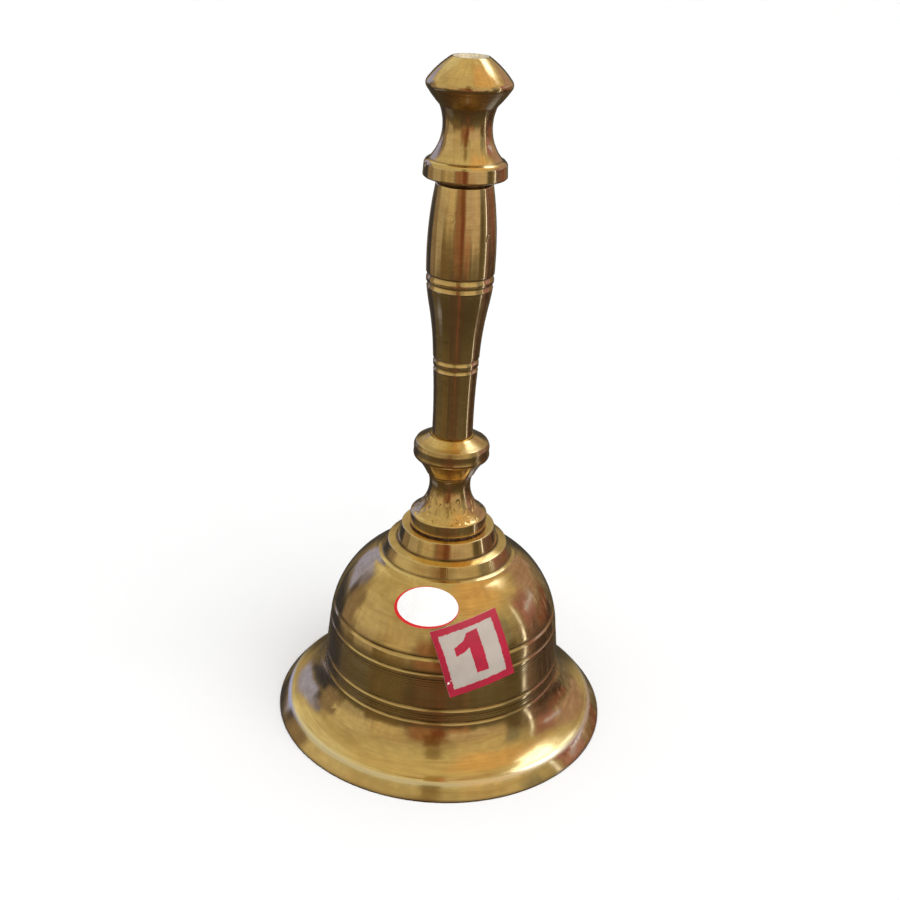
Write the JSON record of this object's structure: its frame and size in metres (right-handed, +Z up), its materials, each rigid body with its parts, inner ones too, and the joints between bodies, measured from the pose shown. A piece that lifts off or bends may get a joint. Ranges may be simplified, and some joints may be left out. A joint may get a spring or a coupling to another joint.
{
  "type": "hand bell",
  "caption": "Turned brass hand bell on a baluster handle, with a ball clapper that hangs from a link inside the crown.",
  "frame": {"origin": "middle of the mouth, on the plane of the mouth's edge, which is the plane that the bell stands on", "axes": "+Z up the handle along the bell's axis; -Y is the front, where the labels are; +X to the right of someone facing the labels"},
  "size_m": [0.072, 0.072, 0.141],
  "materials": {
    "bell_brass": "polished on the lathe, fine turning lines, light tarnish",
    "handle_brass": "polished on the lathe, light tarnish",
    "rod_brass": "peened end, bright",
    "fitting_brass": "as machined, dull",
    "wire_brass": "drawn wire, tarnished",
    "clapper_brass": "turned, worn bright where it strikes",
    "packing": "dark packing, rough edge",
    "number_label": "printed label, satin",
    "blank_label": "blank paper label, satin"
  },
  "bodies": {
    "bell": {"bell_shell": "bell_brass", "crown_packing": "packing", "handle_foot": "handle_brass", "handle_grip": "handle_brass", "handle_finial": "handle_brass", "tie_rod": "rod_brass", "crown_washer": "fitting_brass", "clamp_nut": "fitting_brass", "clapper_eye": "fitting_brass", "number_label": "number_label", "blank_label": "blank_label"},
    "link": {"clapper_link": "wire_brass"},
    "clapper": {"clapper_stem": "clapper_brass", "clapper_ball": "clapper_brass"}
  },
  "joints": [
    {"name": "link_swing", "type": "hinge", "parent": "bell", "child": "link", "pos_m": [0, 0, 0.03118], "axis": [1, 0, 0], "range_deg": [-46, 46]},
    {"name": "clapper_swing", "type": "hinge", "parent": "link", "child": "clapper", "pos_m": [0, 0, 0.02603], "axis": [0, 1, 0], "range_deg": [-20, 20]}
  ]
}
